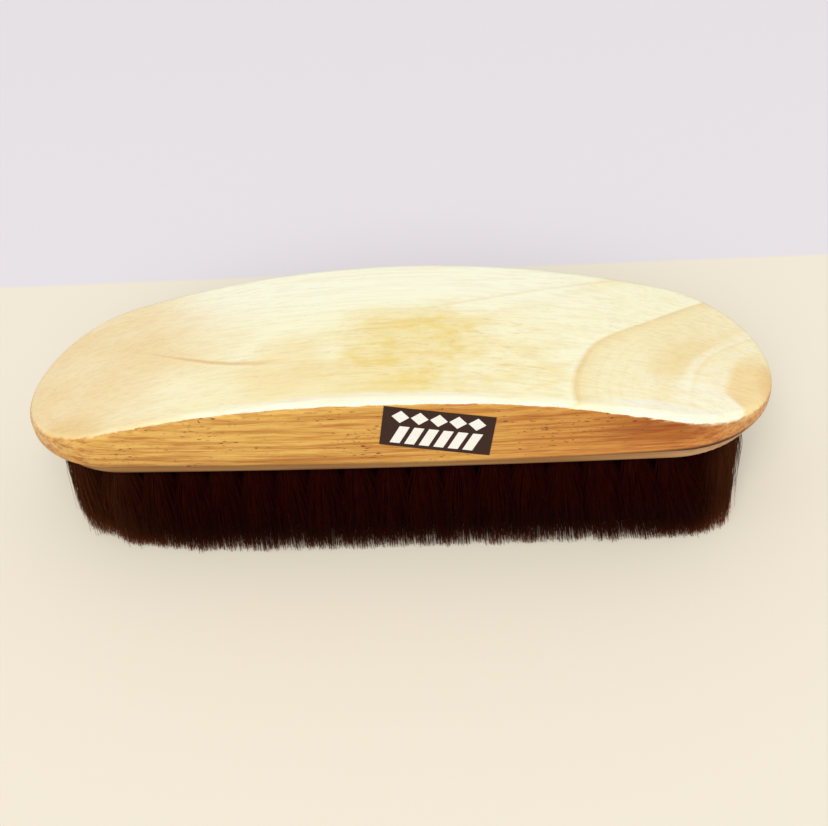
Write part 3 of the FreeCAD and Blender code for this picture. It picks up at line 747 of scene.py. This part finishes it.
def comb(point, hold):
    """Moves a point that strays past the outline of the hair back by a share of the way."""
    fall = 1.0 - point.z / ROOT_HEIGHT
    right = point.x > 0
    reach = END_REACH + (RIGHT_GROWTH if right else LEFT_GROWTH) * fall
    side = SIDE_REACH + (SIDE_GROWTH + SIDE_GROWTH_SLOPE * point.x) * fall
    squarer = RIGHT_FRONT_SQUARER if right else LEFT_FRONT_SQUARER
    squareness = SQUARENESS + squarer * fall * (point.y < 0)
    toward_end = (abs(point.x) / reach) ** squareness
    toward_side = (abs(point.y) / side) ** squareness
    total = toward_end + toward_side
    spread = total ** (1.0 / squareness)
    way = Vector((toward_end / abs(point.x), toward_side / abs(point.y))) * spread / total
    excess = (spread - 1.0) / way.length + SOFT_EDGE
    if excess > 0.0:
        pull = hold * (excess - SOFT_EDGE * (1.0 - math.exp(-excess / SOFT_EDGE)))
        pull *= min(1.0, 1.6 * fall)
        way.normalize()
        point.x -= math.copysign(pull * way.x, point.x)
        point.y -= math.copysign(pull * way.y, point.y)


stray = Vector((0.09, 0.01, 0.001))
comb(stray, TIGHT_HOLD)
print("a stray point at 90 mm is combed back to", round(1000 * stray.x, 1))

# %% [markdown]
# Every row copies turned tufts to its own holes and combs them. A row replaces the plain solids of
# its tufts, which stay behind it for collisions, hidden.

# %% Rows of hair
SHORTEST_TUFT = 0.985

for name in hair_rows:
    shape = bmesh.new()
    for spot in tuft_places(name):
        lean = push(spot) / ROOT_HEIGHT
        splay = Matrix(((1.0, 0.0, -lean.x, 0.0), (0.0, 1.0, -lean.y, 0.0),
                        (0.0, 0.0, dice.uniform(SHORTEST_TUFT, 1.0), 0.0), (0.0, 0.0, 0.0, 1.0)))
        turn = Matrix.Rotation(dice.uniform(0.0, 2.0 * math.pi), 4, "Z")
        place_copy(shape, dice.choice(tufts), Matrix.Translation(spot) @ splay @ turn)
    for index, vertex in enumerate(shape.verts):
        number = index // HAIR_POINTS % HAIRS_PER_TUFT
        comb(vertex.co, TIGHT_HOLD - LOOSE_SLACK * looseness(number))
    mesh = bpy.data.meshes.new(name.replace("tuft", "hair"))
    shape.to_mesh(mesh)
    shape.free()
    mesh.materials.append(dark_hair)
    row = bpy.data.objects.new(mesh.name, mesh)
    scene.collection.objects.link(row)
    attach(row, "root")
    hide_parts(name)
    print(row.name, "triangles", triangles(mesh))

# %% [markdown]
# The brush stands on a plain cream sheet in front of a cooler pale one. One large square is enough
# for both, because a ramp across it changes the colour where the second sheet begins.

# %% Floor
FLOOR_HALF = 3.0
SHEET_COLOURS = [(87.5, (241, 232, 213)), (89.0, (231, 226, 229))]

floor_paper, tree, shader = new_finish("floor_paper")
_, _, across_it, _ = millimetres(tree)
sheets = ramp(tree, across_it, 80.0, 96.0, SHEET_COLOURS)
tree.links.new(sheets, shader.inputs["Base Color"])
shader.inputs["Roughness"].default_value = 0.9
shader.inputs["Specular IOR Level"].default_value = 0.1
shape = bmesh.new()
bmesh.ops.create_grid(shape, x_segments=1, y_segments=1, size=FLOOR_HALF)
mesh = bpy.data.meshes.new("floor")
shape.to_mesh(mesh)
shape.free()
mesh.materials.append(floor_paper)
floor = bpy.data.objects.new("floor", mesh)
scene.collection.objects.link(floor)
print("floor width in m", round(floor.dimensions.x, 2))

# %% [markdown]
# A large soft lamp far in front and above gives an even light and almost no shadow in view. Being
# far away it lights the near and the far floor alike. A pale sky fills the rest: it is brighter
# where the camera or a shiny surface sees it than where it lights the brush.

# %% Lamp and sky
LAMP_PLACE = Vector((0.0, -4.4, 4.57))
LAMP_SIZE = 4.8
LAMP_POWER = 336.0
SKY_COLOUR = (0.99, 0.99, 1.0, 1.0)
SKY_LIGHT, SKY_SEEN_MORE = 0.52, 0.38

lamp = bpy.data.objects.new("front_lamp", bpy.data.lights.new("front_lamp", "AREA"))
lamp.data.size = LAMP_SIZE
lamp.data.energy = LAMP_POWER
lamp.location = LAMP_PLACE
lamp.rotation_euler = (BRUSH_MIDDLE - LAMP_PLACE).to_track_quat("-Z", "Y").to_euler()
scene.collection.objects.link(lamp)

sky = bpy.data.worlds.new("sky")
sky.use_nodes = True
scene.world = sky
tree = sky.node_tree
background = tree.nodes["Background"]
background.inputs["Color"].default_value = SKY_COLOUR
rays = add(tree, "LightPath")
seen = calc(tree, "MAXIMUM", rays.outputs["Is Camera Ray"], rays.outputs["Is Glossy Ray"])
tree.links.new(scaled(tree, seen, SKY_SEEN_MORE, SKY_LIGHT), background.inputs["Strength"])
print("lamp power", lamp.data.energy)
